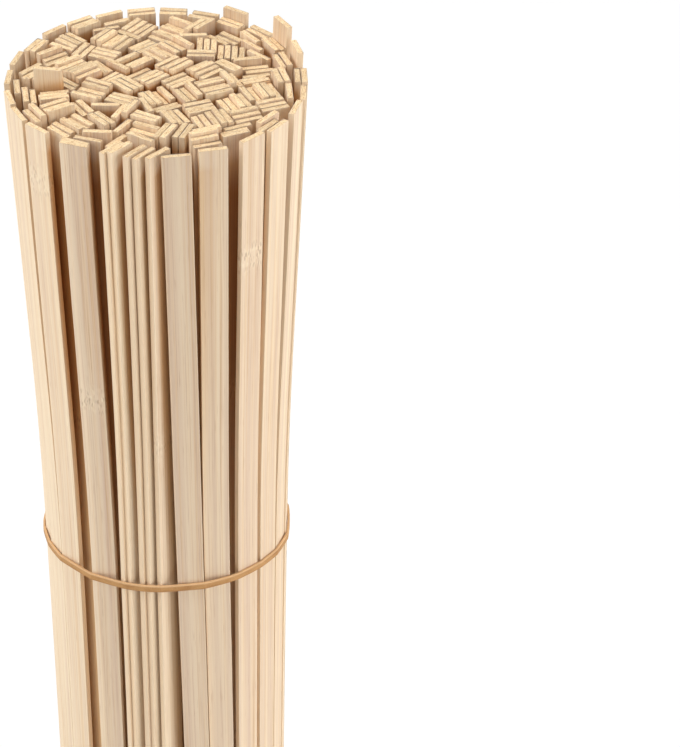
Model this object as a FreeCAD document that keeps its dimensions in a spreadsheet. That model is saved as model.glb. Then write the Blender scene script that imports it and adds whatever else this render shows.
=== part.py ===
import FreeCAD, Part
import math
import os
import random

os.makedirs("parts", exist_ok=True)
doc = FreeCAD.newDocument("bamboo_strip_bundle")

# Driving sizes in millimetres, unless the note says otherwise.
# The strips are upright; the table is at height 0 and the viewer stands at -Y.
SIZES = [
    ("strip_length", 400.0, "length of one strip"),
    ("strip_width", 10.0, "broad side of a strip"),
    ("strip_thickness", 2.2, "narrow side of a strip"),
    ("strip_clearance", 0.06, "room between strips that lie flat on each other"),
    ("end_scatter", 1.7, "how far the upper ends stand above or below the mean"),
    ("waist_diameter", 97.6, "bundle across the outer strips where the band sits"),
    ("top_diameter", 107.0, "bundle across the outer strips at their upper ends"),
    ("loose_strips", 250, "strips shaken together before those outside the rim are left out"),
    ("band_height", 198.0, "middle of the band above the table"),
    ("band_rise", 7.3, "how much higher than that the band sits at the front"),
    ("band_width", 3.0, "rubber band, upper to lower edge"),
    ("band_thickness", 1.0, "rubber band, inside to outside"),
    ("band_clearance", 0.08, "room between the band and the outermost strip corners"),
]

sheet = doc.addObject("Spreadsheet::Sheet", "Sizes")
for row, (name, value, note) in enumerate(SIZES, start=1):
    sheet.set("A%d" % row, name)
    sheet.set("B%d" % row, str(value))
    sheet.set("C%d" % row, note)
    sheet.setAlias("B%d" % row, name)
doc.recompute()


def size(name):
    return float(sheet.get(name))


WIDTH = size("strip_width")
THICK = size("strip_thickness")
CLEAR = size("strip_clearance")
WAIST = size("waist_diameter") / 2
PITCH = THICK + CLEAR
SEED = 8

# Outer strips, walking round the front from the left side to the right side.
# widths, thicks: step along the rim from the strip before, in strip widths and thicknesses
# turn: angle between the broad side and the rim, in degrees; 0 lies flat against the bundle
# layers: strips lying on each other; inset: layers by which the pack sits deeper
# lift: how far the strip stands above the table, in millimetres
# head, foot: how far the upper end and the foot lean sideways, to the viewer's right
FRONT_START = -76.0
FRONT_RIM = [
    # widths, thicks, turn, layers, inset, lift, head, foot
    (0.00, 0.0, 3.0, 1, 0, 0.0, 0.0, 0.0),
    (1.09, 0.0, 2.0, 1, 0, 0.0, 0.0, 0.0),
    (1.08, 0.0, 7.0, 1, 0, 0.0, 0.5, 0.0),
    (1.80, 0.0, 9.0, 1, 0, 0.0, -1.2, 0.4),
    (-0.16, 0.0, 9.0, 1, 1.1, 0.0, -1.2, 0.4),
    (1.26, 0.0, 64.0, 1, 0, 0.0, 0.0, 0.0),
    (0.00, 1.25, 60.6, 1, 0, 0.0, 0.0, 0.0),
    (0.00, 2.30, 57.0, 1, 0, 0.0, 0.0, 0.0),
    (0.00, 1.30, 53.5, 1, 0, 0.0, 0.0, 0.0),
    (0.00, 2.10, 45.0, 1, 0, 0.0, 0.0, 0.0),
    (0.90, 0.0, -5.5, 1, 0, 0.0, -3.4, 3.0),
    (1.12, 0.0, -11.0, 1, 0, 0.0, -2.2, 2.8),
    (1.37, 0.0, 1.0, 1, 0, 0.0, -2.2, 0.7),
    (1.20, 0.0, -1.0, 1, 0, 0.0, -2.2, 0.7),
    (1.10, 0.0, 3.0, 1, 0, 0.0, -0.6, 0.3),
    (1.09, 0.0, 5.0, 1, 0, 0.0, 0.0, 0.0),
]

# Single strips that stand up out of the bundle: bearing, distance from the axis in radii, lift
RAISED = [(104.0, 1.0, 5.0), (127.0, 1.0, 8.5), (153.0, 1.0, 3.5), (-82.0, 0.7, 6.0)]


class Stack:
    """Some strips lying flat on each other, seen from above at the band."""

    def __init__(self, layers, yaw, x=0.0, y=0.0):
        self.layers = layers
        self.yaw = yaw
        self.x = x
        self.y = y
        self.a = (WIDTH + CLEAR) / 2
        self.b = layers * PITCH / 2
        self.far = math.hypot(self.a, self.b)
        self.along = (math.cos(yaw), math.sin(yaw))
        self.across = (-math.sin(yaw), math.cos(yaw))
        self.group = 0
        self.lift = 0.0
        self.head = 0.0
        self.base = 0.0

    def spot(self, u, v):
        """The point u along the broad side and v across it from the middle."""
        return (self.x + u * self.along[0] + v * self.across[0],
                self.y + u * self.along[1] + v * self.across[1])

    def half_extent(self, nx, ny):
        return (self.a * abs(self.along[0] * nx + self.along[1] * ny)
                + self.b * abs(self.across[0] * nx + self.across[1] * ny))

    def reach(self):
        """Distance of the farthest corner from the axis of the bundle."""
        u = abs(self.x * self.along[0] + self.y * self.along[1]) + self.a
        v = abs(self.x * self.across[0] + self.y * self.across[1]) + self.b
        return math.hypot(u, v)

    def covers(self, x, y, margin):
        """Whether a point is in the stack, or nearer to one of its sides than the margin."""
        dx = x - self.x
        dy = y - self.y
        return (abs(dx * self.along[0] + dy * self.along[1]) < self.a + margin
                and abs(dx * self.across[0] + dy * self.across[1]) < self.b + margin)

    def hits(self, other):
        dx = other.x - self.x
        dy = other.y - self.y
        if dx * dx + dy * dy > (self.far + other.far) ** 2:
            return False
        for nx, ny in (self.along, self.across, other.along, other.across):
            if abs(dx * nx + dy * ny) >= self.half_extent(nx, ny) + other.half_extent(nx, ny):
                return False
        return True


def bearing_direction(bearing):
    """Unit vector for a bearing in degrees: 0 points to the viewer, 90 to the right."""
    turn = math.radians(bearing)
    return math.sin(turn), -math.cos(turn)


class RimStack(Stack):
    """A stack of the rim: it keeps its bearing and turn and moves in or out only."""

    def __init__(self, bearing, turn, layers=1, inset=0, lift=0.0, head=0.0, base=0.0):
        super().__init__(layers, math.radians(bearing + turn))
        self.direction = bearing_direction(bearing)
        self.inset = inset * PITCH
        self.lift = lift
        self.head = head
        self.base = base

    def at_radius(self, radius):
        """A copy whose outermost corner touches the circle of that radius."""
        copy = object.__new__(RimStack)
        copy.__dict__.update(self.__dict__)
        dx, dy = self.direction
        limit = radius - self.inset
        nearest = radius
        for u, v in ((1, 1), (1, -1), (-1, 1), (-1, -1)):
            cx = u * self.a * self.along[0] + v * self.b * self.across[0]
            cy = u * self.a * self.along[1] + v * self.b * self.across[1]
            mid = cx * dx + cy * dy
            nearest = min(nearest, -mid + math.sqrt(mid * mid + limit * limit - cx * cx - cy * cy))
        copy.x = nearest * dx
        copy.y = nearest * dy
        return copy


def rim_stacks(dice):
    """The rim: the chosen strips of the front, then seeded ones round the back."""
    degrees_per_mm = math.degrees(1 / WAIST)
    stacks = []
    bearing = FRONT_START
    for widths, thicks, turn, layers, inset, lift, head, base in FRONT_RIM:
        bearing += (widths * WIDTH + thicks * PITCH) * degrees_per_mm
        stacks.append(RimStack(bearing, turn, layers, inset, lift, head, base))
    full_turn = FRONT_START + 360
    while True:
        bearing += WIDTH * dice.uniform(1.09, 1.16) * degrees_per_mm
        if bearing + 1.12 * WIDTH * degrees_per_mm > full_turn:
            return stacks
        layers = dice.choice((1, 1, 2, 2, 3))
        stacks.append(RimStack(bearing, dice.uniform(-5, 5), layers))


def loose_core(dice):
    """The inner strips before the band is drawn tight, on a wide spiral."""
    stacks = []
    left = int(size("loose_strips"))
    radius = 0.0
    turn = 0.0
    while left > 0:
        layers = min(dice.choice((1, 1, 1, 2, 2, 3, 3, 4, 5)), left)
        left -= layers
        turn += 2.4
        stack = Stack(layers, dice.uniform(0, math.pi))
        radius = max(radius - WIDTH, 0)
        while True:
            stack.x = radius * math.cos(turn)
            stack.y = radius * math.sin(turn)
            if not any(stack.hits(other) for other in stacks):
                break
            radius += WIDTH / 8
        stacks.append(stack)
    return stacks


def shaken(stacks, dice, rounds=3000):
    """Shake the stacks together: small moves and turns that lead inward or cost little."""
    near = []
    for turn in range(rounds):
        calm = 1 - turn / rounds
        step = WIDTH * (0.15 * calm + 0.003)
        twist = 0.25 * calm + 0.004
        freedom = WIDTH * 0.4 * calm * calm
        if turn % 8 == 0:
            near = [[other for other in range(len(stacks)) if other != one
                     and math.hypot(stacks[other].x - stacks[one].x, stacks[other].y - stacks[one].y)
                     < stacks[one].far + stacks[other].far + 8 * step + THICK]
                    for one in range(len(stacks))]
            wall = max(stack.reach() for stack in stacks)
        for one, stack in enumerate(stacks):
            out = math.hypot(stack.x, stack.y)
            pull = step * 0.1 / (out + 1)
            x = stack.x + dice.uniform(-step, step) - pull * stack.x
            y = stack.y + dice.uniform(-step, step) - pull * stack.y
            if math.hypot(x, y) > out + freedom * dice.random():
                continue
            yaw = stack.yaw
            if dice.random() < 0.5:
                yaw += dice.uniform(-twist, twist)
            trial = Stack(stack.layers, yaw, x, y)
            if trial.reach() > wall:
                continue
            if not any(trial.hits(stacks[other]) for other in near[one]):
                stacks[one] = trial
    return stacks


def single_strips(stacks):
    """The strips of the stacks one by one, each knowing the number of its stack."""
    strips = []
    for number, stack in enumerate(stacks):
        for layer in range(stack.layers):
            x, y = stack.spot(0, (layer + 0.5) * PITCH - stack.b)
            strips.append(Stack(1, stack.yaw, x, y))
            strips[-1].group = number
            strips[-1].head = stack.head
            strips[-1].base = stack.base
    return strips


def settled(strips, walls, dice, rounds=130):
    """Let the single strips inside the rim slide and fan out a little, towards the axis."""
    near = []
    for turn in range(rounds):
        calm = 1 - turn / rounds
        step = THICK * (0.30 * calm + 0.02)
        twist = 0.05 * calm + 0.003
        if turn % 10 == 0:
            near = [[other for other in strips + walls if other is not one
                     and math.hypot(other.x - one.x, other.y - one.y)
                     < other.far + one.far + 2 * THICK]
                    for one in strips]
        for one, strip in enumerate(strips):
            out = math.hypot(strip.x, strip.y)
            x = strip.x + dice.uniform(-step, step)
            y = strip.y + dice.uniform(-step, step)
            if math.hypot(x, y) > out + step * 0.25 * calm:
                continue
            trial = Stack(1, strip.yaw + dice.uniform(-twist, twist), x, y)
            if trial.reach() < WAIST and not any(trial.hits(other) for other in near[one]):
                strip.__dict__.update(trial.__dict__, group=strip.group)
    return strips


def leaning(rim):
    """Where the leaning strips of the rim stand at their foot and at their upper end."""
    copies = []
    for stack in rim:
        for shift in (stack.base, stack.head):
            if shift:
                x, y = stack.spot(shift, 0)
                copies.append(Stack(stack.layers, stack.yaw, x, y))
    return copies


def filled(strips, walls):
    """More strips, stood wherever there is still room for one, from the rim inward."""
    cell = WIDTH
    taken = {}

    def enter(strip):
        place = (round(strip.x / cell), round(strip.y / cell))
        for column in (-1, 0, 1):
            for row in (-1, 0, 1):
                taken.setdefault((place[0] + column, place[1] + row), []).append(strip)

    for strip in strips + walls:
        enter(strip)
    added = []
    half = PITCH / 2
    radius = WAIST - half
    while radius > THICK:
        bearing = 0.0
        while bearing < 360:
            dx, dy = bearing_direction(bearing)
            x, y = radius * dx, radius * dy
            close = taken.get((round(x / cell), round(y / cell)), [])
            if not any(one.covers(x, y, half) for one in close):
                for turn in (0, 8, -8, 16, -16, 24, -24, 35, -35, 46, -46, 58, -58, 70, -70, 90):
                    trial = Stack(1, math.radians(bearing + turn), x, y)
                    if trial.reach() < WAIST and not any(trial.hits(one) for one in close):
                        enter(trial)
                        added.append(trial)
                        break
            bearing += 100 / radius
        radius -= THICK * 0.1
    return added


dice = random.Random(SEED)
rim = [stack.at_radius(WAIST) for stack in rim_stacks(dice)]
walls = rim + leaning(rim)
core = single_strips(shaken(loose_core(dice), dice))
core = [strip for strip in core
        if strip.reach() < WAIST and not any(strip.hits(stack) for stack in walls)]
for again in range(5):
    core += filled(core, walls)
    settled(core, walls, dice)
core += filled(core, walls)


# How much farther out than at the band the middle of a strip stands at its upper end
SPREAD = (size("top_diameter") - THICK) / (size("waist_diameter") - THICK)

# Each strip gets the name of its part, the height of its foot and the height of its upper end
FRONT = len(FRONT_RIM)
BACK_PARTS = 7
CORE_ZONES = [("inner", 0.36, 4), ("middle", 0.70, 10), ("outer", 1.00, 15)]


def bearing_of(strip):
    return math.degrees(math.atan2(strip.x, -strip.y))


def distance_of(strip):
    """How far the strip is from the axis, in radii of the bundle at the band."""
    return math.hypot(strip.x, strip.y) / WAIST


strips = []
for number, stack in enumerate(rim, start=1):
    rise = dice.uniform(-1, 1) * size("end_scatter") * 0.5
    for strip in single_strips([stack]):
        if number <= FRONT:
            strip.part = "front_strip_%02d" % number
        else:
            share = (number - FRONT - 1) * BACK_PARTS // (len(rim) - FRONT)
            strip.part = "back_strips_%02d" % (share + 1)
        strip.foot = stack.lift
        strip.top = size("strip_length") + stack.lift + rise
        strips.append(strip)
        rise += dice.uniform(-0.4, 0.4) * size("end_scatter")

stack_rise = [dice.uniform(-1, 1) * size("end_scatter") for stack in core]
for strip in core:
    strip.foot = 0.0
    rise = stack_rise[strip.group] + dice.uniform(-0.5, 0.5) * size("end_scatter")
    strip.top = size("strip_length") + rise
    strips.append(strip)

# The inner strips are shared out over the parts of their zone, going round the axis
within = 0.0
for zone, limit, parts in CORE_ZONES:
    members = [strip for strip in core if within < distance_of(strip) <= limit]
    members.sort(key=bearing_of)
    for place, strip in enumerate(members):
        strip.part = "%s_strips_%02d" % (zone, place * parts // len(members) + 1)
    within = limit

for bearing, share, lift in RAISED:
    dx, dy = bearing_direction(bearing)
    x, y = WAIST * share * dx, WAIST * share * dy
    behind = [one for one in strips if not one.part.startswith("front")]
    strip = min(behind, key=lambda one: math.hypot(one.x - x, one.y - y))
    strip.foot += lift
    strip.top += lift


def corners(strip, spread, lean=0.0):
    """The corners of the strip seen from above, spread out and leaning sideways that far."""
    shift_x = strip.x * (spread - 1) + lean * strip.along[0]
    shift_y = strip.y * (spread - 1) + lean * strip.along[1]
    points = []
    for u, v in ((1, 1), (-1, 1), (-1, -1), (1, -1)):
        x, y = strip.spot(u * WIDTH / 2, v * THICK / 2)
        points.append((x + shift_x, y + shift_y))
    return points


# The origin is under the middle of the whole bundle
every_corner = [point for strip in strips for point in
                corners(strip, 1, strip.base) + corners(strip, SPREAD, strip.head)]
MIDDLE_X = (min(x for x, y in every_corner) + max(x for x, y in every_corner)) / 2
MIDDLE_Y = (min(y for x, y in every_corner) + max(y for x, y in every_corner)) / 2

BEND_HEIGHT = "Sizes.band_height + Sizes.band_rise + Sizes.band_width"


def rectangle(name, strip, spread, lean, height):
    """The strip's cross-section at one height; its sides are bound to the sheet."""
    plane = doc.addObject("Part::Plane", name)
    plane.setExpression("Length", "Sizes.strip_width")
    plane.setExpression("Width", "Sizes.strip_thickness")
    x, y = corners(strip, spread, lean)[2]
    plane.Placement = FreeCAD.Placement(
        FreeCAD.Vector(x - MIDDLE_X, y - MIDDLE_Y, 0),
        FreeCAD.Rotation(FreeCAD.Vector(0, 0, 1), math.degrees(strip.yaw)))
    plane.setExpression("Placement.Base.z", height)
    return plane


def strip_solid(strip, number):
    """Upright from the foot to just above the band, then leaning out to the upper end."""
    name = "strip_%03d" % number
    solid = doc.addObject("Part::Loft", name)
    solid.Sections = [
        rectangle(name + "_foot", strip, 1, strip.base, "%.3f" % strip.foot),
        rectangle(name + "_bend", strip, 1, 0.0, BEND_HEIGHT),
        rectangle(name + "_top", strip, SPREAD, strip.head,
                  "Sizes.strip_length + (%.3f)" % (strip.top - size("strip_length"))),
    ]
    solid.Solid = True
    solid.Ruled = True
    return solid


nodes = {}
for number, strip in enumerate(strips, start=1):
    nodes.setdefault(strip.part, []).append(strip_solid(strip, number))

parts = []
for label in sorted(nodes):
    if len(nodes[label]) == 1:
        part = nodes[label][0]
    else:
        part = doc.addObject("Part::Compound", label + "_group")
        part.Links = nodes[label]
    part.Label = label
    parts.append(part)


def hull(points):
    """Convex outline, anticlockwise, without points that stand out by almost nothing."""
    points = sorted(set(points))
    outline = []
    for way in (points, points[::-1]):
        chain = []
        for point in way:
            while len(chain) > 1:
                ax, ay = chain[-1][0] - chain[-2][0], chain[-1][1] - chain[-2][1]
                bx, by = point[0] - chain[-2][0], point[1] - chain[-2][1]
                if ax * by - ay * bx > 0.01 * math.hypot(bx, by):
                    break
                chain.pop()
            chain.append(point)
        outline += chain[:-1]
    return outline


# The rubber band: stretched straight from corner to corner, bent round each corner,
# and in one plane that falls from the front to the back
outline = hull([point for strip in strips for point in corners(strip, 1)])
FALL = size("band_rise") / WAIST
wrap = doc.addObject("Part::Polygon", "band_wrap")
wrap.Nodes = [FreeCAD.Vector(x - MIDDLE_X, y - MIDDLE_Y, (MIDDLE_Y - y) * FALL) for x, y in outline]
wrap.Close = True
wrap.setExpression("Placement.Base.z", "Sizes.band_height - Sizes.band_width / 2")
inside = doc.addObject("Part::Offset2D", "band_inside")
inside.Source = wrap
inside.Join = 0
inside.setExpression("Value", "Sizes.band_clearance")
section = doc.addObject("Part::Offset2D", "band_section")
section.Source = inside
section.Join = 0
section.Fill = True
section.setExpression("Value", "Sizes.band_thickness")
band = doc.addObject("Part::Extrusion", "band")
band.Base = section
band.DirMode = "Custom"
band.Dir = FreeCAD.Vector(0, 0, 1)
band.setExpression("LengthFwd", "Sizes.band_width")
band.Solid = True
band.Label = "rubber_band"
parts.append(band)

doc.recompute()

for thing in doc.Objects:
    if "Invalid" in thing.State or "Error" in thing.State:
        raise RuntimeError("%s did not recompute" % thing.Label)
    if hasattr(thing, "Shape") and (thing.Shape.isNull() or not thing.Shape.isValid()):
        raise RuntimeError("%s has no valid shape" % thing.Label)

for part in parts:
    part.Shape.exportStep(os.path.join("parts", part.Label + ".step"))

# The foot that the bundle's lower face is measured on
central = min((strip for strip in strips if strip.foot == 0.0),
              key=lambda strip: math.hypot(strip.x - MIDDLE_X, strip.y - MIDDLE_Y))
print("strips", len(strips), "parts", len(parts))
print("central foot", round(central.x - MIDDLE_X, 2), round(central.y - MIDDLE_Y, 2))
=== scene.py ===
"""Bundle of flat bamboo strips, stood on end and held by one rubber band."""

import math
import random

import bpy
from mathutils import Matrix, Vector, geometry, noise


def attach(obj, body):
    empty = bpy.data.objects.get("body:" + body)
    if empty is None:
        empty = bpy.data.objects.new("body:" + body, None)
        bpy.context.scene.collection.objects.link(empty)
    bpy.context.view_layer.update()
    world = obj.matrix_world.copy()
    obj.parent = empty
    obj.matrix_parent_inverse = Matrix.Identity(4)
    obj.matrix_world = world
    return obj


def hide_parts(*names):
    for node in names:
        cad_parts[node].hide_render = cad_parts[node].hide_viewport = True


bl_info = {
    "name": "Bamboo Strip Bundle",
    "version": (1, 0, 0),
    "blender": (4, 5, 0),
    "location": "View3D > Sidebar > Bundle",
    "description": "Builds a bundle of flat bamboo strips, its rubber band and stage",
    "category": "Add Mesh",
}

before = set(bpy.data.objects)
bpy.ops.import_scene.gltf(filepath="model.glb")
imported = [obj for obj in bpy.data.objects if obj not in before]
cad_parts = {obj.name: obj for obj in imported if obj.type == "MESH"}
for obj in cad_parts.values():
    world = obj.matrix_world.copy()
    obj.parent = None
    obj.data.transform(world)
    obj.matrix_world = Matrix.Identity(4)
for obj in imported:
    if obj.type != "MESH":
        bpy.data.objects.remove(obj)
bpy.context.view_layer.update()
BAND_NODE = "rubber_band"
STRIP_NODES = sorted(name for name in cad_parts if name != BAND_NODE)
SEED = 41


# ---------------------------------------------------------------- settings


def painted(red, green, blue):
    """A colour written as on screen, 0 to 255, as the values that a shader takes."""
    return tuple(
        part / 12.92 if part <= 0.04045 else ((part + 0.055) / 1.055) ** 2.4
        for part in (red / 255, green / 255, blue / 255)
    )


def colour(name, text, red, green, blue):
    return bpy.props.FloatVectorProperty(
        name=name, description=text, subtype="COLOR", size=3, min=0, max=1,
        default=painted(red, green, blue))


def length(name, text, default):
    return bpy.props.FloatProperty(
        name=name, description=text, default=default, min=0, unit="LENGTH", precision=5)


def number(name, text, default, low=0.0, high=1000.0):
    return bpy.props.FloatProperty(
        name=name, description=text, default=default, min=low, max=high)


class StripSettings(bpy.types.PropertyGroup):
    """Sizes and colours of the bamboo strips."""

    corner: length("Corner radius", "Rounding of the long corners of a strip", 0.00022)
    chamfer: length("End chamfer", "Rubbed edge round a sawn end", 0.00020)
    rim_light: length("Rim light", "Length of the outer ends that light reaches", 0.008)
    end_light: length("End light", "Length of the inner ends that light reaches", 0.024)
    waver: length("Waver", "How far the sides of a strip waver along its length", 0.00010)
    bow: length("Bow", "How far an outer strip bows above the band", 0.00035)
    flare: number("Flare", "Share by which the bundle opens towards its foot", 0.012)
    slant_broad: number("Broad slant", "Most rise of a sawn end along its width", 0.03)
    slant_narrow: number("Narrow slant", "Most rise of a sawn end through it", 0.08)
    twist: bpy.props.FloatProperty(
        name="Twist", description="How far an outer strip turns from foot to end",
        default=math.radians(1.4), subtype="ANGLE")
    cream: colour("Cream", "Palest bamboo", 251, 229, 197)
    beige: colour("Beige", "Bamboo with a grey pink cast", 226, 197, 171)
    straw: colour("Straw", "Warmer bamboo between the fibres", 245, 212, 164)
    fibre: colour("Fibre", "Dark fibre lines", 188, 140, 100)
    # The narrow side colour is partly the sawn side's own and partly painted shade
    side: colour("Narrow side", "Sawn narrow side of a strip", 228, 182, 128)
    end: colour("Sawn end", "Ground colour of a sawn end", 255, 230, 188)
    pith: colour("Fibre dots", "Cut fibres seen on a sawn end", 190, 138, 84)
    fleck: colour("Pale flecks", "Palest flecks of a joint mark", 253, 235, 204)
    bruise: colour("Dark flecks", "Darkest flecks of a joint mark", 170, 128, 92)
    hair: colour("Loose fibres", "Palest loose fibres", 252, 236, 208)
    # Painted shade: the two tints below darken and brown the strips deep between them and
    # a little below their outer faces
    gap: colour("Gaps", "Tint of what lies deep between the strips", 210, 173, 132)
    hollow_shade: colour("Hollows", "Tint of what lies a little below the outer faces",
                   238, 216, 186)


class BandSettings(bpy.types.PropertyGroup):
    """Sizes and colours of the rubber band."""

    waver: length("Waver", "How far the band wanders up and down", 0.00022)
    bulge: length("Bulge", "How far the band bows outward between two corners", 0.00012)
    rubber: colour("Rubber", "Colour of the band", 198, 149, 94)
    # The paler colour is partly dust and partly a painted highlight on the upper edge;
    # the darker one is partly worn rubber and partly painted shade on the lower edge
    dust_and_highlight: colour("Bloom", "Paler dusty rubber along the edges", 234, 192, 144)
    grime_and_shade: colour("Grime", "Darker worn rubber", 164, 110, 60)
    speck: colour("Specks", "Dark specks in the rubber", 110, 66, 36)


class StageSettings(bpy.types.PropertyGroup):
    """Floor, lamps and camera."""

    lens: number("Lens", "Focal length in millimetres", 109.15)
    height: length("Camera height", "Camera above the floor", 0.7922)
    distance: length("Camera distance", "Camera in front of the bundle", 0.6936)
    sideways: length("Camera offset", "Camera to the right of the bundle", 0.0286)
    pitch: bpy.props.FloatProperty(
        name="Pitch", description="How far the camera looks down",
        default=math.radians(36.9), subtype="ANGLE")
    shift: number("Shift", "Sideways shift, as a share of the longer side", 0.1367)
    left: number("Left lamp", "Power of the lamp on the left, in watts", 15.4)
    right: number("Right lamp", "Power of the lamp on the right, in watts", 12.6)
    top: number("Top lamp", "Power of the lamp overhead, in watts", 12.4)
    front: number("Front lamp", "Power of the weak front lamp, in watts", 0.6)
    sky: number("Surrounding light", "Strength of the even light from all round", 0.27)
    floor: colour("Floor", "Colour of the floor", 245, 245, 245)
    patch: colour("Floor patches", "Faint darker patches of the floor", 240, 240, 240)
    glow: number("Floor brightness", "How bright the camera sees the floor", 1.06)


# ---------------------------------------------------------------- shader sums


def tinted(plain):
    return (*plain, 1.0)


class Wire:
    """One socket of a material. Sums written with wires add the Math nodes they need."""

    def __init__(self, tree, socket):
        self.tree = tree
        self.socket = socket

    def node(self, kind, settings=None, sockets=None, output=0):
        """Adds any node: its type, its settings, then values or wires for its sockets."""
        made = self.tree.nodes.new(kind)
        for name, value in (settings or {}).items():
            setattr(made, name, value)
        for name, value in (sockets or {}).items():
            if isinstance(value, Wire):
                self.tree.links.new(value.socket, made.inputs[name])
            else:
                made.inputs[name].default_value = value
        return Wire(self.tree, made.outputs[output])

    def beside(self, output):
        """Another output of the node that this wire comes from."""
        return Wire(self.tree, self.socket.node.outputs[output])

    def maths(self, operation, *values, clamp=False):
        return self.node("ShaderNodeMath", {"operation": operation, "use_clamp": clamp},
                         dict(enumerate(values)))

    def __add__(self, other):
        return self.maths("ADD", self, other)

    def __sub__(self, other):
        return self.maths("SUBTRACT", self, other)

    def __mul__(self, other):
        return self.maths("MULTIPLY", self, other)

    def __radd__(self, other):
        return self.maths("ADD", other, self)

    def __rsub__(self, other):
        return self.maths("SUBTRACT", other, self)

    def __rmul__(self, other):
        return self.maths("MULTIPLY", other, self)

    def __abs__(self):
        return self.maths("ABSOLUTE", self)

    def clamped(self):
        return self.maths("ADD", self, 0.0, clamp=True)

    def step(self, low, high):
        """0 below low, 1 above high and smooth between; low may be the larger."""
        return self.node("ShaderNodeMapRange", {"interpolation_type": "SMOOTHSTEP"},
                         {"Value": self, "From Min": low, "From Max": high})

    def parts(self):
        """The three parts of a vector."""
        return [self.node("ShaderNodeSeparateXYZ", {}, {0: self}, axis)
                for axis in range(3)]

    def vector(self, x, y, z):
        return self.node("ShaderNodeCombineXYZ", {}, {0: x, 1: y, 2: z})

    def cloud(self, x, y, z, detail=2.0, rough=0.5):
        """Soft noise, about 0.5 on average, at a place given in noise cells."""
        return self.node("ShaderNodeTexNoise", {"noise_dimensions": "3D"},
                         {"Vector": self.vector(x, y, z), "Scale": 1.0,
                          "Detail": detail, "Roughness": rough}, "Fac")

    def cells(self, x, y, z):
        """Distance from the nearest of scattered points, at a place given in cells."""
        return self.node("ShaderNodeTexVoronoi", {"feature": "F1"},
                         {"Vector": self.vector(x, y, z), "Scale": 1.0,
                          "Randomness": 1.0}, "Distance")

    def mixed(self, factor, other, blend="MIX"):
        """This colour with another, a wire or a plain one, laid over it by a factor."""
        top = other if isinstance(other, Wire) else tinted(other)
        return self.node("ShaderNodeMix", {"data_type": "RGBA", "blend_type": blend},
                         {0: factor, 6: self, 7: top}, 2)


def blended(factor, first, second):
    """Two plain colours, mixed by a factor that varies over the surface."""
    return factor.node("ShaderNodeMix", {"data_type": "RGBA"},
                       {0: factor, 6: tinted(first), 7: tinted(second)}, 2)


def new_material(name):
    """A new material: a wire to build from and a function that sets its surface."""
    material = bpy.data.materials.new(name)
    material.use_nodes = True
    tree = material.node_tree
    tree.nodes.clear()
    output = tree.nodes.new("ShaderNodeOutputMaterial")

    def finish(surface):
        tree.links.new(surface.socket, output.inputs["Surface"])
        return material

    return Wire(tree, None), finish


def attribute(start, name, output="Vector"):
    return start.node("ShaderNodeAttribute",
                      {"attribute_type": "GEOMETRY", "attribute_name": name}, {}, output)


def relief(height, depth, strength):
    """Bump from a height of 0 to 1 that stands for that depth in metres."""
    return height.node("ShaderNodeBump", {}, {
        "Height": height, "Distance": depth, "Strength": strength}, "Normal")


# Depths inside the bundle from which the painted shade of hollows and gaps starts and is
# full
HOLLOW_SHADE_DEPTHS = (0.0011, 0.0032)
GAP_SHADE_DEPTHS = (0.0016, 0.0064)

# Half height of a joint mark, and how far it pushes the fibres aside
MARK_REACH = 0.0095
MARK_SWIRL = 0.0018

# Distances from a long edge within which a face is narrow side, partly painted shade, or
# corner with a painted highlight
SIDE_EDGE = (0.0005, 0.0)
CORNER_HIGHLIGHT_EDGE = (0.0006, 0.0001)

# How deep the relief of each material is
GRAIN_RELIEF = 0.00008
HAIR_RELIEF = 0.00003
RUBBER_RELIEF = 0.00005

# Heights on the band, from its middle, at which the painted highlight on its upper edge
# and the painted shade on its lower edge start and are full
HIGHLIGHT_HEIGHTS = (0.00070, 0.0014)
SHADE_HEIGHTS = (-0.0007, -0.0013)


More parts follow.
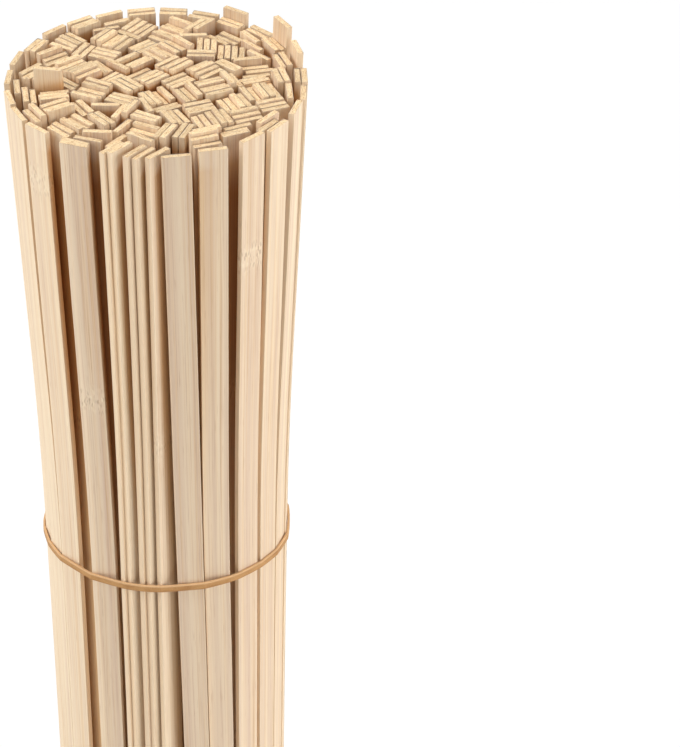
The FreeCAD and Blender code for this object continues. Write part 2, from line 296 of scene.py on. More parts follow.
def bamboo_material(look):
    """Split bamboo: fibre lines along the strip, cut fibres on its ends, joint marks,
    painted shade deep between the strips and painted highlights on the corners.
    """
    start, finish = new_material("split_bamboo")
    across, through, along = attribute(start, "fibre_place").parts()
    light, blush, chance = attribute(start, "strip_tone").parts()
    from_one, from_two, strong = attribute(start, "joint_mark").parts()
    # Distances from the long edges, and the depth in the bundle that sets the painted
    # shade
    edge_u, edge_v, depth = attribute(start, "rim_and_shade_depth").parts()
    cut = attribute(start, "sawn_end", "Fac")

    # A joint mark bends the fibres that pass it
    near = start.maths("MAXIMUM", abs(from_one).step(MARK_REACH, 0.0),
                       abs(from_two).step(MARK_REACH, 0.0)) * strong
    swirl = start.cloud(across * 420 + chance * 13, through * 420, along * 260) - 0.5
    bent = across + swirl * near * MARK_SWIRL
    shift = chance * 57

    def fibres(pitch, changes, turn, detail, rough):
        """Lines along the strip: pitch and changes are numbers per metre."""
        return start.cloud(bent * pitch + shift * turn, through * pitch,
                           along * changes + shift, detail, rough)

    fine = fibres(2300, 15, 1, 3, 0.6)
    lines = fibres(1150, 5, 3, 2, 0.55)
    dashes = fibres(2000, 95, 7, 1, 0.5)
    wide = start.cloud(bent * 300 + shift * 5, through * 240, along * 2.2 + shift)
    patches = start.cloud(across * 70 + shift, through * 70, along * 13 + shift)

    tone = blended((wide.step(0.35, 0.68) * 0.6 + blush * 0.75 - 0.16).clamped(),
                   look.cream, look.beige)
    tone = tone.mixed(lines.step(0.45, 0.72) * 0.5, look.straw)
    streak = (fine.step(0.48, 0.74) * 0.42 + lines.step(0.54, 0.74) * 0.24
              + dashes.step(0.62, 0.78) * 0.24)
    tone = tone.mixed((streak * (0.75 + 0.45 * blush)).clamped(), look.fibre)
    tone = tone.mixed(fine.step(0.46, 0.30) * 0.35, look.cream)
    tone = tone.mixed(patches.step(0.55, 0.9) * 0.16, look.straw)

    # Narrow sawn sides are browner, partly their own colour and partly painted shade, and
    # the corners between get a painted highlight where the rounding catches the light
    narrow = edge_u.step(*SIDE_EDGE) * (1 - edge_v.step(*SIDE_EDGE))
    tone = tone.mixed(narrow * (0.50 + 0.5 * fine), look.side)
    corner = edge_u.step(*CORNER_HIGHLIGHT_EDGE) * edge_v.step(*CORNER_HIGHLIGHT_EDGE)
    tone = tone.mixed(corner * 0.55, look.cream)

    # Joint mark: short pale and dark flecks along the fibres
    fleck = start.cells(bent * 1100 + shift, through * 900, along * 330 + shift)
    speck = start.cells(bent * 1300 + shift * 2, through * 1100, along * 300 + shift)
    pale = fleck.step(0.48, 0.22) * near
    dark = speck.step(0.46, 0.18) * near * patches.step(0.30, 0.5)
    tone = tone.mixed((near * 0.22 + pale * 0.52).clamped(), look.fleck)
    tone = tone.mixed((dark * 0.5).clamped(), look.bruise)

    # Sawn ends: a pale ground with the dots and torn lines of the cut fibres
    dots = start.cells(across * 1500 + shift, through * 1500, shift)
    dot_size = start.cloud(across * 600 + shift, through * 600, shift)
    dotted = dots.step(0.50, 0.20) * dot_size.step(0.28, 0.50)
    torn = start.cloud(across * 350 + shift, through * 2200 + shift, shift, 3, 0.65)
    crumb = start.cloud(across * 1100 + shift, through * 1100, shift, 3, 0.75)
    end = blended((wide.step(0.3, 0.75) * 0.4 + crumb.step(0.4, 0.6) * 0.6).clamped(),
                  look.end, look.straw)
    end = end.mixed((dotted * 0.40 + torn.step(0.50, 0.66) * 0.55
                     + crumb.step(0.56, 0.68) * 0.20).clamped(), look.pith)
    tone = tone.mixed(cut, end)

    # Painted shade: deep between the strips the wood is tinted darker and browner, as
    # where less light reaches
    sides = 1 - cut
    tone = tone.mixed(depth.step(*HOLLOW_SHADE_DEPTHS) * sides, look.hollow_shade, "MULTIPLY")
    tone = tone.mixed(depth.step(*GAP_SHADE_DEPTHS) * sides, look.gap, "MULTIPLY")

    # Each strip's brightness, which on the front strips is partly painted shade
    level = 0.88 + 0.20 * light + 0.10 * (fine - 0.5) + 0.05 * (patches - 0.5)
    shade = start.node("ShaderNodeCombineColor", {}, {0: level, 1: level, 2: level})
    tone = tone.mixed(1.0, shade, "MULTIPLY")

    rough = (0.50 + 0.16 * fine + 0.10 * lines + 0.12 * cut - 0.06 * near).clamped()
    grain = fine * 0.65 + lines * 0.45 - dashes.step(0.62, 0.82) * 0.25
    sawn = 0.6 - dotted * 0.6 + torn * 0.5 + crumb * 0.5
    height = grain * sides + cut * sawn + pale * 0.3 - dark * 0.5
    surface = start.node("ShaderNodeBsdfPrincipled", {}, {
        "Base Color": tone, "Roughness": rough, "IOR": 1.46, "Specular IOR Level": 0.32,
        "Normal": relief(height, GRAIN_RELIEF, 0.9)}, "BSDF")
    return finish(surface)


def splinter_material(look):
    """Loose fibres: pale, dry and dull."""
    start, finish = new_material("loose_fibre")
    x, y, z = start.node("ShaderNodeTexCoord", {}, {}, "Object").parts()
    grain = start.cloud(x * 3000, y * 3000, z * 900)
    tone = blended(grain.step(0.3, 0.7), look.hair, look.straw)
    surface = start.node("ShaderNodeBsdfPrincipled", {}, {
        "Base Color": tone, "Roughness": 0.55 + 0.2 * grain, "Specular IOR Level": 0.3,
        "Normal": relief(grain, HAIR_RELIEF, 0.6)}, "BSDF")
    return finish(surface)


def rubber_material(look):
    """Natural rubber: dull tan with a little dust, a painted highlight along its upper
    edge, painted shade along its lower edge and fine cross lines.
    """
    start, finish = new_material("tan_rubber")
    round_it, up, out = attribute(start, "band_place").parts()
    mottle = start.cloud(round_it * 160, up * 400, out * 400, 3, 0.55)
    crumb = start.cloud(round_it * 1900, up * 1900, out * 1900, 2, 0.6)
    ribs = start.cloud(round_it * 2600, up * 260, out * 260)
    specks = start.cells(round_it * 62, up * 90, out * 90)
    tone = blended(mottle.step(0.35, 0.75) * 0.6, look.rubber, look.grime_and_shade)
    # Painted highlight along the upper edge, with flecks of dust all over
    highlight_and_dust = up.step(*HIGHLIGHT_HEIGHTS) * 0.85 + crumb.step(0.50, 0.75) * 0.25
    tone = tone.mixed(highlight_and_dust.clamped(), look.dust_and_highlight)
    # Painted shade along the lower edge
    tone = tone.mixed(up.step(*SHADE_HEIGHTS) * 0.35, look.grime_and_shade)
    tone = tone.mixed(specks.step(0.06, 0.03) * 0.8, look.speck)
    rough = (0.56 + 0.2 * crumb + 0.1 * mottle).clamped()
    height = 0.5 * ribs + 0.35 * crumb + 0.25 * mottle
    surface = start.node("ShaderNodeBsdfPrincipled", {}, {
        "Base Color": tone, "Roughness": rough, "IOR": 1.5, "Specular IOR Level": 0.3,
        "Normal": relief(height, RUBBER_RELIEF, 0.8)}, "BSDF")
    return finish(surface)


def material_for(maker, name, look):
    """The material of that name, made once."""
    return bpy.data.materials.get(name) or maker(look)


def smooth_object(name, points, faces, layers=(), normals=None):
    """A smooth mesh object with values and normals stored at its points."""
    mesh = bpy.data.meshes.new(name)
    mesh.from_pydata(points, [], faces)
    mesh.polygons.foreach_set("use_smooth", [True] * len(faces))
    for label, values in layers:
        if isinstance(values[0], tuple):
            layer = mesh.attributes.new(label, "FLOAT_VECTOR", "POINT")
            layer.data.foreach_set("vector", [part for value in values for part in value])
        else:
            layer = mesh.attributes.new(label, "FLOAT", "POINT")
            layer.data.foreach_set("value", values)
    mesh.update()
    if normals:
        mesh.normals_split_custom_set_from_vertices(normals)
    thing = bpy.data.objects.new(name, mesh)
    bpy.context.collection.objects.link(thing)
    return thing


# ---------------------------------------------------------------- strips


class Strip:
    """One strip as the frame gives it: where it stands, how wide and thick it is."""

    def __init__(self, corners):
        levels = sorted(corners, key=lambda point: point.z)
        foot, bend, top = levels[:4], levels[4:8], levels[8:]
        first = foot[0]
        near = sorted(foot[1:], key=lambda point: (point - first).length)
        self.thick = (near[0] - first).length
        self.width = (near[1] - first).length
        self.foot = sum(foot, Vector()) / 4
        self.bend = sum(bend, Vector()) / 4
        self.top = sum(top, Vector()) / 4
        through = (near[0] - first).normalized()
        if through.dot(Vector((self.foot.x, self.foot.y, 0))) < 0:
            through = -through
        self.through = through
        self.across = Vector((through.y, -through.x, 0))

    def waist_corners(self):
        """The four corners seen from above, where the band sits."""
        half_u = self.across * (self.width / 2)
        half_v = self.through * (self.thick / 2)
        return [(self.bend + i * half_u + j * half_v).to_2d()
                for i in (1, -1) for j in (1, -1)]

    def middle_at(self, height, flare=0.0):
        """The middle at a height: it opens slowly from the band and leans evenly."""
        if height < self.bend.z:
            share = (self.bend.z - height) / (self.bend.z - self.foot.z)
            spot = self.bend.lerp(self.foot, share) + self.bend * (flare * share * share)
        else:
            share = (height - self.bend.z) / (self.top.z - self.bend.z)
            lean = self.across * (self.top - self.bend * (1 + OPENING)).dot(self.across)
            spread = (self.top - self.bend - lean) * opened(share)
            spot = self.bend + spread + lean * share
        return Vector((spot.x, spot.y, height))


def strips_of(node):
    """The separate strips of a frame node, in a fixed order."""
    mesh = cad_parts[node].data
    key = [tuple(round(c, 6) for c in vertex.co) for vertex in mesh.vertices]
    parent = {point: point for point in key}

    def root(point):
        while parent[point] != point:
            parent[point] = parent[parent[point]]
            point = parent[point]
        return point

    for face in mesh.polygons:
        first = root(key[face.vertices[0]])
        for index in face.vertices[1:]:
            parent[root(key[index])] = first
    groups = {}
    for point in sorted(parent):
        groups.setdefault(root(point), []).append(Vector(point))
    for group in groups.values():
        if len(group) != 12:
            raise RuntimeError(f"{node}: a strip has {len(group)} corners, not 12")
    return [Strip(group) for _, group in sorted(groups.items())]


ALL_STRIPS = {node: strips_of(node) for node in STRIP_NODES}
CORE = ("inner", "middle", "outer")


def opening():
    """Share by which the core strips stand farther out at the top than at the band."""
    inner = [strip for node in STRIP_NODES if node.startswith(CORE)
             for strip in ALL_STRIPS[node]]
    out = sum((one.top - one.bend).to_2d().dot(one.bend.to_2d()) for one in inner)
    return out / sum(one.bend.to_2d().length_squared for one in inner)


OPENING = opening()
EVERY_STRIP = [strip for strips in ALL_STRIPS.values() for strip in strips]
MEAN_TOP = sum(strip.top.z for strip in EVERY_STRIP) / len(EVERY_STRIP)
WAIST_RADIUS = max(corner.length for strip in EVERY_STRIP
                   for corner in strip.waist_corners())

# Joint marks that are seen at the front: strip, height in metres, strength
FRONT_MARKS = {
    "front_strip_03": (0.379, 1.0),
    "front_strip_04": (0.2915, 1.0),
    "front_strip_10": (0.274, 0.8),
    "front_strip_13": (0.352, 1.0),
}

# The front strip with a pale stripe along one side, where on its width the stripe
# starts, what it adds to the light and what it leaves of the blush
STRIPED = "front_strip_04"
STRIPE_FROM = 0.0030
STRIPE_LIGHT = 0.45
STRIPE_BLUSH = 0.1

# Light and blush of the front strips, partly their own tone and partly painted shade:
# front strips that stand in shade get less light and more blush; the others are drawn at
# random
FRONT_TONES = {
    "front_strip_01": (0.65, 0.05),
    "front_strip_02": (0.60, 0.10),
    "front_strip_03": (0.75, 0.05),
    "front_strip_04": (0.30, 0.80),
    "front_strip_05": (0.45, 0.45),
    "front_strip_06": (0.55, 0.30),
    "front_strip_07": (0.62, 0.10),
    "front_strip_08": (0.30, 0.35),
    "front_strip_09": (0.45, 0.25),
    "front_strip_10": (0.35, 0.25),
    "front_strip_11": (0.18, 0.60),
    "front_strip_12": (0.36, 0.45),
    "front_strip_13": (0.60, 0.60),
    "front_strip_14": (0.60, 0.35),
    "front_strip_15": (0.70, 0.15),
    "front_strip_16": (0.70, 0.10),
}


# Flats round each long corner, and across each broad side of a strip
CORNER_STEPS = 3
BROAD_SPANS = 6

# Rings of an outer strip, and of an inner strip above the band
OUTER_RINGS = 33
INNER_RINGS = 7

# Share of the length above the band in which the bundle only starts to open
SLOW_SHARE = 0.45

# Share of the depth that counts for the painted shade at the band, where strips stand
# close
CLOSE_DEPTH = 0.45

# Wavers per metre along the narrow and the broad sides, and the broad ones' strength
NARROW_WAVERS = 28
BROAD_WAVERS = 22
BROAD_STRENGTH = 0.35

# Spread of a rubbed edge's width, and the most that a fibre of a sawn end is short
RUB_SPREAD = (-0.35, 0.6)
FRAY = 0.00006

# Rim and joint mark values for a face that is far from both, with no painted shade
FAR_RIM = (0.005, 0.005, 0)
NO_MARK = (1.0, 1.0, 0.0)


def quarter(start):
    """Directions round a quarter turn that starts at an angle in degrees."""
    angles = [math.radians(start + step * 90 / CORNER_STEPS)
              for step in range(CORNER_STEPS + 1)]
    return [(math.cos(angle), math.sin(angle)) for angle in angles]


def outline_points(strip, corner):
    """The strip's section: places across and through it with their normals."""
    half_u = strip.width / 2 - corner
    half_v = strip.thick / 2 - corner
    points = []
    for sign_u, sign_v, start in ((1, -1, -90), (1, 1, 0), (-1, 1, 90), (-1, -1, 180)):
        points += [(sign_u * half_u + corner * nu, sign_v * half_v + corner * nv, nu, nv)
                   for nu, nv in quarter(start)]
        if sign_u == sign_v:
            for step in range(1, BROAD_SPANS):
                u = sign_u * half_u * (1 - 2 * step / BROAD_SPANS)
                points.append((u, sign_v * strip.thick / 2, 0.0, float(sign_v)))
    return points


def opened(share):
    """How far out the bundle has opened, 0 at the bend and 1 at the upper end."""
    if share < SLOW_SHARE:
        return share * share / (2 * SLOW_SHARE * (1 - SLOW_SHARE / 2))
    return (share - SLOW_SHARE / 2) / (1 - SLOW_SHARE / 2)


class StripPiece:
    """Collects the points and faces of the strips of one piece, then makes its mesh."""

    def __init__(self, settings, outer):
        self.settings = settings
        self.outer = outer
        self.light_reach = settings.rim_light if outer else settings.end_light
        self.points = []
        self.normals = []
        self.faces = []
        self.places = []
        self.rims_and_shade = []
        self.tones = []
        self.marks = []
        self.cuts = []

    def swayed(self, strip, middle, height, free, own):
        """An outer strip turns, bows and drifts a little on its way up."""
        rise = (height - strip.foot.z) / (strip.top.z - strip.foot.z)
        turn = own["twist"] * (rise - 0.5)
        across = strip.across * math.cos(turn) + strip.through * math.sin(turn)
        through = strip.through * math.cos(turn) - strip.across * math.sin(turn)
        middle += strip.through * own["bow"] * math.sin(math.pi * free)
        middle += strip.across * own["drift"] * math.sin(math.pi * free * 0.9)
        return middle, across, through

    def wavered(self, strip, u, v, height, phase):
        """A place of the section, moved by the waver of the strip's sides."""
        waver = self.settings.waver
        narrow = Vector((phase, math.copysign(3, u), height * NARROW_WAVERS))
        broad = Vector((phase, 9 + math.copysign(3, v), height * BROAD_WAVERS))
        out = math.copysign(noise.noise(narrow) * waver, u) * (abs(u) / (strip.width / 2))
        return u + out, v + noise.noise(broad) * waver * BROAD_STRENGTH

    def sawn_lift(self, strip, u, v, dice, own):
        """A sawn end slants a little, and never reaches past the strip's length."""
        slant_u, slant_v = own["slant"]
        most = (abs(slant_u) * strip.width + abs(slant_v) * strip.thick) / 2
        return most - slant_u * u - slant_v * v + dice.uniform(0, FRAY)

    def ring(self, strip, outline, height, inset, dice, own):
        """Adds one ring of the strip's section at a height; returns its first index."""
        first = len(self.points)
        flare, bend = self.settings.flare, strip.bend.z
        free = max(height - bend, 0) / (strip.top.z - bend)
        # Painted shade: how much the depth darkens the strip, none on the lit ends and
        # less at the band
        below = max(min(strip.top.z, MEAN_TOP) - height, 0)
        dark = min(below / self.light_reach, 1) * min(CLOSE_DEPTH + free, 1)
        open_by = 1 + flare * max(1 - height / bend, 0) ** 2 + OPENING * opened(free)
        middle = strip.middle_at(height, flare)
        across, through = strip.across, strip.through
        if self.outer:
            middle, across, through = self.swayed(strip, middle, height, free, own)
        for u, v, nu, nv in outline:
            pu, pv, lift = u, v, 0.0
            if self.outer:
                pu, pv = self.wavered(strip, u, v, height, own["chance"] * 100)
            if inset:
                tuck = inset * (1 + dice.uniform(*RUB_SPREAD))
                pu -= tuck * nu
                pv -= tuck * nv
                low = self.sawn_lift(strip, u, v, dice, own)
                lift = low if height < bend else -low
            point = middle + across * pu + through * pv + Vector((0, 0, lift))
            depth = max(WAIST_RADIUS - point.to_2d().length / open_by, 0)
            self.points.append(point)
            self.normals.append(across * nu + through * nv)
            self.places.append((u, v, height - strip.foot.z))
            # Distances from the long edges, and the depth that sets the painted shade
            self.rims_and_shade.append((max(strip.width / 2 - abs(pu), 0),
                              max(strip.thick / 2 - abs(pv), 0), depth * dark))
            light, blush = own["light"], own["blush"]
            if own["striped"] and u > STRIPE_FROM:
                light, blush = light + STRIPE_LIGHT, blush * STRIPE_BLUSH
            self.tones.append((light, blush, own["chance"]))
            self.marks.append((height - own["marks"][0], height - own["marks"][1],
                               own["strength"]))
            self.cuts.append(0.0)
        return first

    def bridge(self, low, high, count):
        for step in range(count):
            after = (step + 1) % count
            self.faces.append((low + step, low + after, high + after, high + step))

    def heights(self, strip):
        """Where the rings of a strip go, between its two rubbed ends."""
        foot, bend, lit = strip.foot.z, strip.bend.z, strip.top.z - self.light_reach
        if self.outer:
            return [foot + (lit - foot) * step / OUTER_RINGS
                    for step in range(1, OUTER_RINGS)] + [lit]
        low = [foot + (bend - foot) * 0.5, bend]
        high = [bend + (lit - bend) * step / INNER_RINGS
                for step in range(1, INNER_RINGS)]
        return low + high + [lit]

    def add(self, strip, own, dice):
        """Adds one strip with its rubbed edges and its two sawn ends."""
        outline = outline_points(strip, self.settings.corner)
        count = len(outline)
        chamfer = self.settings.chamfer
        foot, top = strip.foot.z, strip.top.z
        low_first = self.ring(strip, outline, foot, chamfer, dice, own)
        last = self.ring(strip, outline, foot + chamfer, 0, dice, own)
        self.bridge(low_first, last, count)
        for height in self.heights(strip) + [top - chamfer]:
            after = self.ring(strip, outline, height, 0, dice, own)
            self.bridge(last, after, count)
            last = after
        edge = self.ring(strip, outline, top, chamfer, dice, own)
        self.bridge(last, edge, count)
        for ring_first, way in ((edge, 1), (low_first, -1)):
            for index in range(ring_first, ring_first + count):
                blend = self.normals[index] + Vector((0, 0, way))
                self.normals[index] = blend.normalized()
            self.cap(ring_first, count, way)

    def cap(self, ring_first, count, way):
        """Closes a sawn end with points of its own, so that its edge stays crisp."""
        first = len(self.points)
        for index in range(ring_first, ring_first + count):
            self.points.append(self.points[index].copy())
            self.normals.append(Vector((0, 0, way)))
            self.places.append(self.places[index])
            self.rims_and_shade.append(FAR_RIM)
            self.tones.append(self.tones[index])
            self.marks.append(NO_MARK)
            self.cuts.append(1.0)
        loop = tuple(range(first, first + count))
        self.faces.append(loop if way > 0 else loop[::-1])

    def made(self, name):
        """The finished object."""
        layers = (("fibre_place", self.places), ("strip_tone", self.tones),
                  ("joint_mark", self.marks), ("rim_and_shade_depth", self.rims_and_shade),
                  ("sawn_end", self.cuts))
        return smooth_object(name, self.points, self.faces, layers, self.normals)


def strip_character(node, strip, settings, dice):
    """What is particular to one strip: tone, joint marks, how it bows and was sawn."""
    light, blush = dice.random(), dice.random() ** 1.5
    marks = [strip.foot.z + dice.uniform(low, high)
             for low, high in ((0.02, 0.2), (0.24, 0.44))]
    strength = dice.choice((0.0, 0.4, 0.7, 1.0))
    if node in FRONT_TONES:
        light, blush = FRONT_TONES[node]
        height, strength = FRONT_MARKS.get(node, (1.0, 0.0))
        marks = [height, 1.0]
    return {
        "light": light, "blush": blush, "chance": dice.random(),
        "striped": node == STRIPED, "marks": marks, "strength": strength,
        "twist": dice.uniform(-1, 1) * settings.twist,
        "bow": dice.uniform(-0.1, 1) * settings.bow,
        "drift": dice.uniform(-1, 1) * settings.bow * 0.6,
        "slant": (dice.uniform(-1, 1) * settings.slant_broad,
                  dice.uniform(-1, 1) * settings.slant_narrow),
    }


def build_strips(prefixes, outer):
    """Makes the detailed strips for every frame node whose name starts with a prefix."""
    settings = bpy.context.scene.bundle_strips
    material = material_for(bamboo_material, "split_bamboo", settings)
    made = 0
    for node in STRIP_NODES:
        if not node.startswith(prefixes):
            continue
        dice = random.Random(f"{SEED} {node}")
        piece = StripPiece(settings, outer)
        for strip in ALL_STRIPS[node]:
            piece.add(strip, strip_character(node, strip, settings, dice), dice)
        thing = piece.made(node + "_grained")
        thing.data.materials.append(material)
        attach(thing, "root")
        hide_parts(node)
        made += 1
    if not made:
        raise RuntimeError(f"the frame has no strips named {prefixes}")


# ---------------------------------------------------------------- rubber band


# The band's section: its thickness, the rounding of its edges, and the room between
# it and the corners of the strips
BAND_THICK = 0.00098
BAND_ROUND = 0.00030
BAND_ROOM = 0.00010

# Corners closer together than this are one corner for the band
SAME_CORNER = 0.0012

# Longest flat along the band, and the corner distance from which it bulges fully
BAND_SPAN = 0.004
FULL_BULGE = 0.010

# Share by which the width of the band varies
BAND_SWELL = 0.05

# Slice of the band's front and back from which its slope is read
BAND_SLICE = 0.0004


def band_corners():
    """The corners that the band bends round, seen from above and walked round once."""
    corners = [point for strip in EVERY_STRIP for point in strip.waist_corners()]
    hull = [corners[index] for index in geometry.convex_hull_2d(corners)]
    area = sum(a.x * b.y - b.x * a.y for a, b in zip(hull, hull[1:] + hull[:1]))
    if area < 0:
        hull.reverse()
    kept = []
    for point in hull:
        if not kept or (point - kept[-1]).length > SAME_CORNER:
            kept.append(point)
    return kept


def band_plane():
    """Height of the band's middle at the axis, its slope to the back and its width."""
    points = [vertex.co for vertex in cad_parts[BAND_NODE].data.vertices]
    points = sorted((point.y, point.z) for point in points)
    front = [z for y, z in points if y < points[0][0] + BAND_SLICE]
    back = [z for y, z in points if y > points[-1][0] - BAND_SLICE]
    high = (max(front) + min(front)) / 2
    low = (max(back) + min(back)) / 2
    slope = (high - low) / (points[0][0] - points[-1][0])
    return high - slope * points[0][0], slope, max(front) - min(front)


def band_line(bulge):
    """The middle of the band seen from above: places with their outward directions."""
    hull = band_corners()
    inner = BAND_ROOM + BAND_THICK / 2
    line = []
    for index, corner in enumerate(hull):
        before, after = hull[index - 1], hull[(index + 1) % len(hull)]
        way_in = (corner - before).normalized()
        way_out = (after - corner).normalized()
        normal_in = Vector((way_in.y, -way_in.x))
        normal_out = Vector((way_out.y, -way_out.x))
        reach = (corner - before).length
        spans = max(1, round(reach / BAND_SPAN))
        for step in range(1, spans):
            share = step / spans
            out = bulge * 4 * share * (1 - share) * min(reach / FULL_BULGE, 1)
            line.append((before.lerp(corner, share) + normal_in * (inner + out),
                         normal_in))
        for step in range(CORNER_STEPS + 1):
            normal = normal_in.lerp(normal_out, step / CORNER_STEPS).normalized()
            line.append((corner + normal * inner, normal))
    return line


def band_profile(tall):
    """The section of the band: places outward and up with their normals."""
    half_out, half_up = BAND_THICK / 2 - BAND_ROUND, tall / 2 - BAND_ROUND
    profile = []
    for sign_out, sign_up, start in ((1, 1, 0), (-1, 1, 90), (-1, -1, 180), (1, -1, 270)):
        profile += [(sign_out * half_out + BAND_ROUND * n_out,
                     sign_up * half_up + BAND_ROUND * n_up, n_out, n_up)
                    for n_out, n_up in quarter(start)]
        if start == 0:
            profile.append((0.0, tall / 2, 0.0, 1.0))
    return profile


def build_band():
    """Sweeps the band's section along its line."""
    settings = bpy.context.scene.bundle_band
    middle, slope, tall = band_plane()
    line = band_line(settings.bulge)
    profile = band_profile(tall)
    points, normals, places, faces = [], [], [], []
    run = 0.0
    for index, (spot, normal) in enumerate(line):
        if index:
            run += (spot - line[index - 1][0]).length
        turn = index / len(line) * math.tau
        east, north = math.cos(turn), math.sin(turn)
        wander = noise.noise(Vector((east * 3, north * 3, 0.7))) * settings.waver
        swell = 1 + BAND_SWELL * noise.noise(Vector((east * 6, north * 6, 4.2)))
        base = middle + slope * spot.y + wander
        for out, up, n_out, n_up in profile:
            points.append(Vector((spot.x + normal.x * out, spot.y + normal.y * out,
                                  base + up * swell)))
            facing = Vector((normal.x * n_out, normal.y * n_out, n_up))
            normals.append(facing.normalized())
            places.append((run, up, out))
    size = len(profile)
    for ring in range(len(line)):
        low, high = ring * size, (ring + 1) % len(line) * size
        for step in range(size):
            after = (step + 1) % size
            faces.append((low + step, high + step, high + after, low + after))
    band = smooth_object("stretched_rubber_band", points, faces,
                         (("band_place", places),), normals)
    band.data.materials.append(material_for(rubber_material, "tan_rubber", settings))
    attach(band, "root")
    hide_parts(BAND_NODE)


# ---------------------------------------------------------------- loose fibres


# Sides and rings of one loose fibre, and the share of its width that its tip loses
HAIR_SIDES = 5
HAIR_RINGS = 7
HAIR_TAPER = 0.8

# How many there are, how high on the strips, how long and how wide
HAIR_COUNT = 34
HAIR_HEIGHTS = (0.03, 0.395)
HAIR_LENGTHS = (0.0015, 0.0045)
HAIR_WIDTHS = (0.00006, 0.00011)

# How deep the root of a fibre sits in the corner of its strip
HAIR_ROOT = 0.0002


def add_hair(points, faces, start, way, curl, reach, thick):
    """Adds one loose fibre: a thin tapered tube that leaves its start and curls."""
    side = way.cross(Vector((0, 0, 1)))
    if side.length < 0.1:
        side = way.cross(Vector((1, 0, 0)))
    side.normalize()
    up = side.cross(way).normalized()
    first = len(points)
    for step in range(HAIR_RINGS):
        share = step / (HAIR_RINGS - 1)
        middle = start + way * reach * share + curl * reach * share * share
        radius = thick / 2 * (1 - HAIR_TAPER * share)
        for turn in range(HAIR_SIDES):
            angle = math.tau * turn / HAIR_SIDES
            points.append(middle + side * radius * math.cos(angle)
                          + up * radius * math.sin(angle))
    for low in range(first, first + (HAIR_RINGS - 1) * HAIR_SIDES, HAIR_SIDES):
        high = low + HAIR_SIDES
        for turn in range(HAIR_SIDES):
            after = (turn + 1) % HAIR_SIDES
            faces.append((low + turn, low + after, high + after, high + turn))
    last = first + (HAIR_RINGS - 1) * HAIR_SIDES
    faces.append(tuple(range(first, first + HAIR_SIDES))[::-1])
    faces.append(tuple(range(last, last + HAIR_SIDES)))


def build_fibres():
    """Thin fibres that stand off the corners of the strips."""
    settings = bpy.context.scene.bundle_strips
    dice = random.Random(SEED + 5)
    points, faces = [], []

    # The longest one lies across the gap beside the third front strip
    strip = ALL_STRIPS["front_strip_03"][0]
    spot = strip.middle_at(0.377)
    spot += (strip.across * (strip.width / 2 - 0.0006)
             + strip.through * (strip.thick / 2 - 0.0001))
    way = (strip.across * 0.96 - strip.through * 0.10).normalized()
    add_hair(points, faces, spot, way, Vector((0, 0, -0.06)), 0.0046, 0.00014)

    rim = [strip for node in STRIP_NODES if node.startswith(("front", "back"))
           for strip in ALL_STRIPS[node]]
    for _ in range(HAIR_COUNT):
        strip = dice.choice(rim)
        spot = strip.middle_at(dice.uniform(*HAIR_HEIGHTS))
        sign = dice.choice((-1, 1))
        spot += strip.across * sign * (strip.width / 2 - HAIR_ROOT)
        spot += strip.through * (strip.thick / 2 - HAIR_ROOT)
        way = Vector((0, 0, dice.choice((-1, 1))))
        way += strip.across * sign * dice.uniform(0.03, 0.2)
        way += strip.through * dice.uniform(0.02, 0.12)
        curl = strip.through * dice.uniform(0.0, 0.10)
        add_hair(points, faces, spot, way.normalized(), curl,
                 dice.uniform(*HAIR_LENGTHS), dice.uniform(*HAIR_WIDTHS))
    fibres = smooth_object("loose_fibres", points, faces)
    fibres.data.materials.append(material_for(splinter_material, "loose_fibre", settings))
    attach(fibres, "root")


# ---------------------------------------------------------------- stage


# Half width of the floor, and how far it lies below the feet of the strips
FLOOR_REACH = 12.0
FLOOR_DROP = 0.0002

# Share of its own brightness in the floor that the camera sees; the rest takes shadow
FLOOR_OWN = 0.86


def seen_directly(start):
    """1 for rays of the camera, mirrors and glass, and 0 for rays of soft light."""
    camera = start.node("ShaderNodeLightPath", {}, {}, "Is Camera Ray")
    return (camera + camera.beside("Is Glossy Ray")
            + camera.beside("Is Transmission Ray")).clamped()


def floor_material(look):
    """Pale floor that the camera sees as white and that still takes a shadow."""
    start, finish = new_material("pale_floor")
    x, y, _ = start.node("ShaderNodeTexCoord", {}, {}, "Object").parts()
    grain = start.cloud(x * 60, y * 60, 0.0, 3)
    tone = blended(grain.step(0.3, 0.7) * 0.3, look.floor, look.patch)
    matt = start.node("ShaderNodeBsdfPrincipled", {}, {
        "Base Color": tone, "Roughness": 0.9, "Specular IOR Level": 0.1}, "BSDF")
    white = start.node("ShaderNodeEmission", {}, {
        "Color": (1, 1, 1, 1), "Strength": look.glow})
    return finish(start.node("ShaderNodeMixShader", {}, {
        0: seen_directly(start) * FLOOR_OWN, 1: matt, 2: white}))


def area_lamp(name, spot, aim, size, power):
    """A square lamp at a spot, turned towards its aim and out of the camera's sight."""
    lamp = bpy.data.lights.new(name, "AREA")
    lamp.shape = "SQUARE"
    lamp.size = size
    lamp.energy = power
    holder = bpy.data.objects.new(name, lamp)
    holder.location = spot
    way = Vector(aim) - Vector(spot)
    holder.rotation_euler = way.to_track_quat("-Z", "Y").to_euler()
    holder.visible_camera = False
    bpy.context.collection.objects.link(holder)


def build_floor(look):
    mesh = bpy.data.meshes.new("floor")
    corners = [(-FLOOR_REACH, -FLOOR_REACH, 0), (FLOOR_REACH, -FLOOR_REACH, 0),
               (FLOOR_REACH, FLOOR_REACH, 0), (-FLOOR_REACH, FLOOR_REACH, 0)]
    mesh.from_pydata(corners, [], [(0, 1, 2, 3)])
    floor = bpy.data.objects.new("floor", mesh)
    floor.location.z = -FLOOR_DROP
    bpy.context.collection.objects.link(floor)
    floor.data.materials.append(floor_material(look))


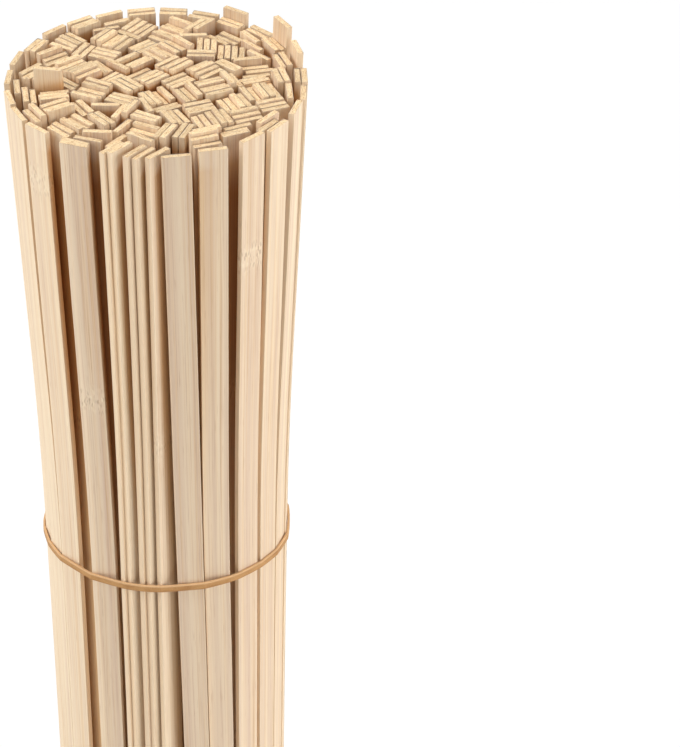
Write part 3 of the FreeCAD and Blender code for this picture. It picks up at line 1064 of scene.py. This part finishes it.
def build_surroundings(look):
    """Even pale light from all round, which the camera sees as white."""
    world = bpy.data.worlds.new("surroundings")
    bpy.context.scene.world = world
    world.use_nodes = True
    tree = world.node_tree
    tree.nodes.clear()
    start = Wire(tree, None)
    strength = look.sky + (1 - look.sky) * seen_directly(start)
    sky = start.node("ShaderNodeBackground", {}, {
        "Color": (1, 1, 1, 1), "Strength": strength})
    end = tree.nodes.new("ShaderNodeOutputWorld")
    tree.links.new(sky.socket, end.inputs["Surface"])


def build_camera(look):
    view = bpy.data.cameras.new("camera")
    view.lens = look.lens
    view.shift_x = look.shift
    view.clip_start = 0.01
    camera = bpy.data.objects.new("camera", view)
    camera.location = (look.sideways, -look.distance, look.height)
    camera.rotation_euler = (math.pi / 2 - look.pitch, 0, 0)
    bpy.context.collection.objects.link(camera)
    bpy.context.scene.camera = camera
    bpy.context.scene.view_settings.view_transform = "Standard"


def build_stage():
    look = bpy.context.scene.bundle_stage
    build_floor(look)
    area_lamp("left_lamp", (-1.35, -0.38, 1.18), (0, 0, 0.34), 1.1, look.left)
    area_lamp("right_lamp", (1.35, -0.52, 0.50), (0, 0, 0.16), 1.1, look.right)
    area_lamp("top_lamp", (0, 0.15, 1.75), (0, 0, 0.3), 1.3, look.top)
    area_lamp("front_lamp", (0.1, -1.7, 0.9), (0, 0, 0.26), 1.2, look.front)
    build_surroundings(look)
    build_camera(look)


# ---------------------------------------------------------------- operators


class BUNDLE_OT_front_strips(bpy.types.Operator):
    """Build the outer strips seen at the front"""

    bl_idname = "bundle.front_strips"
    bl_label = "Front Strips"

    def execute(self, context):
        build_strips(("front",), True)
        return {"FINISHED"}


class BUNDLE_OT_back_strips(bpy.types.Operator):
    """Build the outer strips round the back"""

    bl_idname = "bundle.back_strips"
    bl_label = "Back Strips"

    def execute(self, context):
        build_strips(("back",), True)
        return {"FINISHED"}


class BUNDLE_OT_core_strips(bpy.types.Operator):
    """Build the strips inside the bundle"""

    bl_idname = "bundle.core_strips"
    bl_label = "Core Strips"

    def execute(self, context):
        build_strips(CORE, False)
        return {"FINISHED"}


class BUNDLE_OT_rubber_band(bpy.types.Operator):
    """Build the rubber band"""

    bl_idname = "bundle.rubber_band"
    bl_label = "Rubber Band"

    def execute(self, context):
        build_band()
        return {"FINISHED"}


class BUNDLE_OT_loose_fibres(bpy.types.Operator):
    """Build the loose fibres on the corners of the strips"""

    bl_idname = "bundle.loose_fibres"
    bl_label = "Loose Fibres"

    def execute(self, context):
        build_fibres()
        return {"FINISHED"}


class BUNDLE_OT_stage(bpy.types.Operator):
    """Set up the floor, the lamps, the surroundings and the camera"""

    bl_idname = "bundle.stage"
    bl_label = "Stage"

    def execute(self, context):
        build_stage()
        return {"FINISHED"}


OPERATORS = (BUNDLE_OT_front_strips, BUNDLE_OT_back_strips, BUNDLE_OT_core_strips,
             BUNDLE_OT_rubber_band, BUNDLE_OT_loose_fibres, BUNDLE_OT_stage)


class BUNDLE_PT_panel(bpy.types.Panel):
    """Sidebar panel with the steps and settings of the bundle"""

    bl_label = "Bamboo Strip Bundle"
    bl_idname = "BUNDLE_PT_panel"
    bl_space_type = "VIEW_3D"
    bl_region_type = "UI"
    bl_category = "Bundle"

    def draw(self, context):
        for step in OPERATORS:
            self.layout.operator(step.bl_idname)
        for group in ("bundle_strips", "bundle_band", "bundle_stage"):
            box = self.layout.box()
            settings = getattr(context.scene, group)
            for name in settings.__annotations__:
                box.prop(settings, name)


CLASSES = (StripSettings, BandSettings, StageSettings, *OPERATORS, BUNDLE_PT_panel)


def register():
    for entry in CLASSES:
        bpy.utils.register_class(entry)
    bpy.types.Scene.bundle_strips = bpy.props.PointerProperty(type=StripSettings)
    bpy.types.Scene.bundle_band = bpy.props.PointerProperty(type=BandSettings)
    bpy.types.Scene.bundle_stage = bpy.props.PointerProperty(type=StageSettings)


def unregister():
    del bpy.types.Scene.bundle_strips
    del bpy.types.Scene.bundle_band
    del bpy.types.Scene.bundle_stage
    for entry in reversed(CLASSES):
        bpy.utils.unregister_class(entry)


def main():
    register()
    bpy.ops.bundle.front_strips()
    bpy.ops.bundle.back_strips()
    bpy.ops.bundle.core_strips()
    bpy.ops.bundle.rubber_band()
    bpy.ops.bundle.loose_fibres()
    bpy.ops.bundle.stage()


if __name__ == "__main__":
    main()
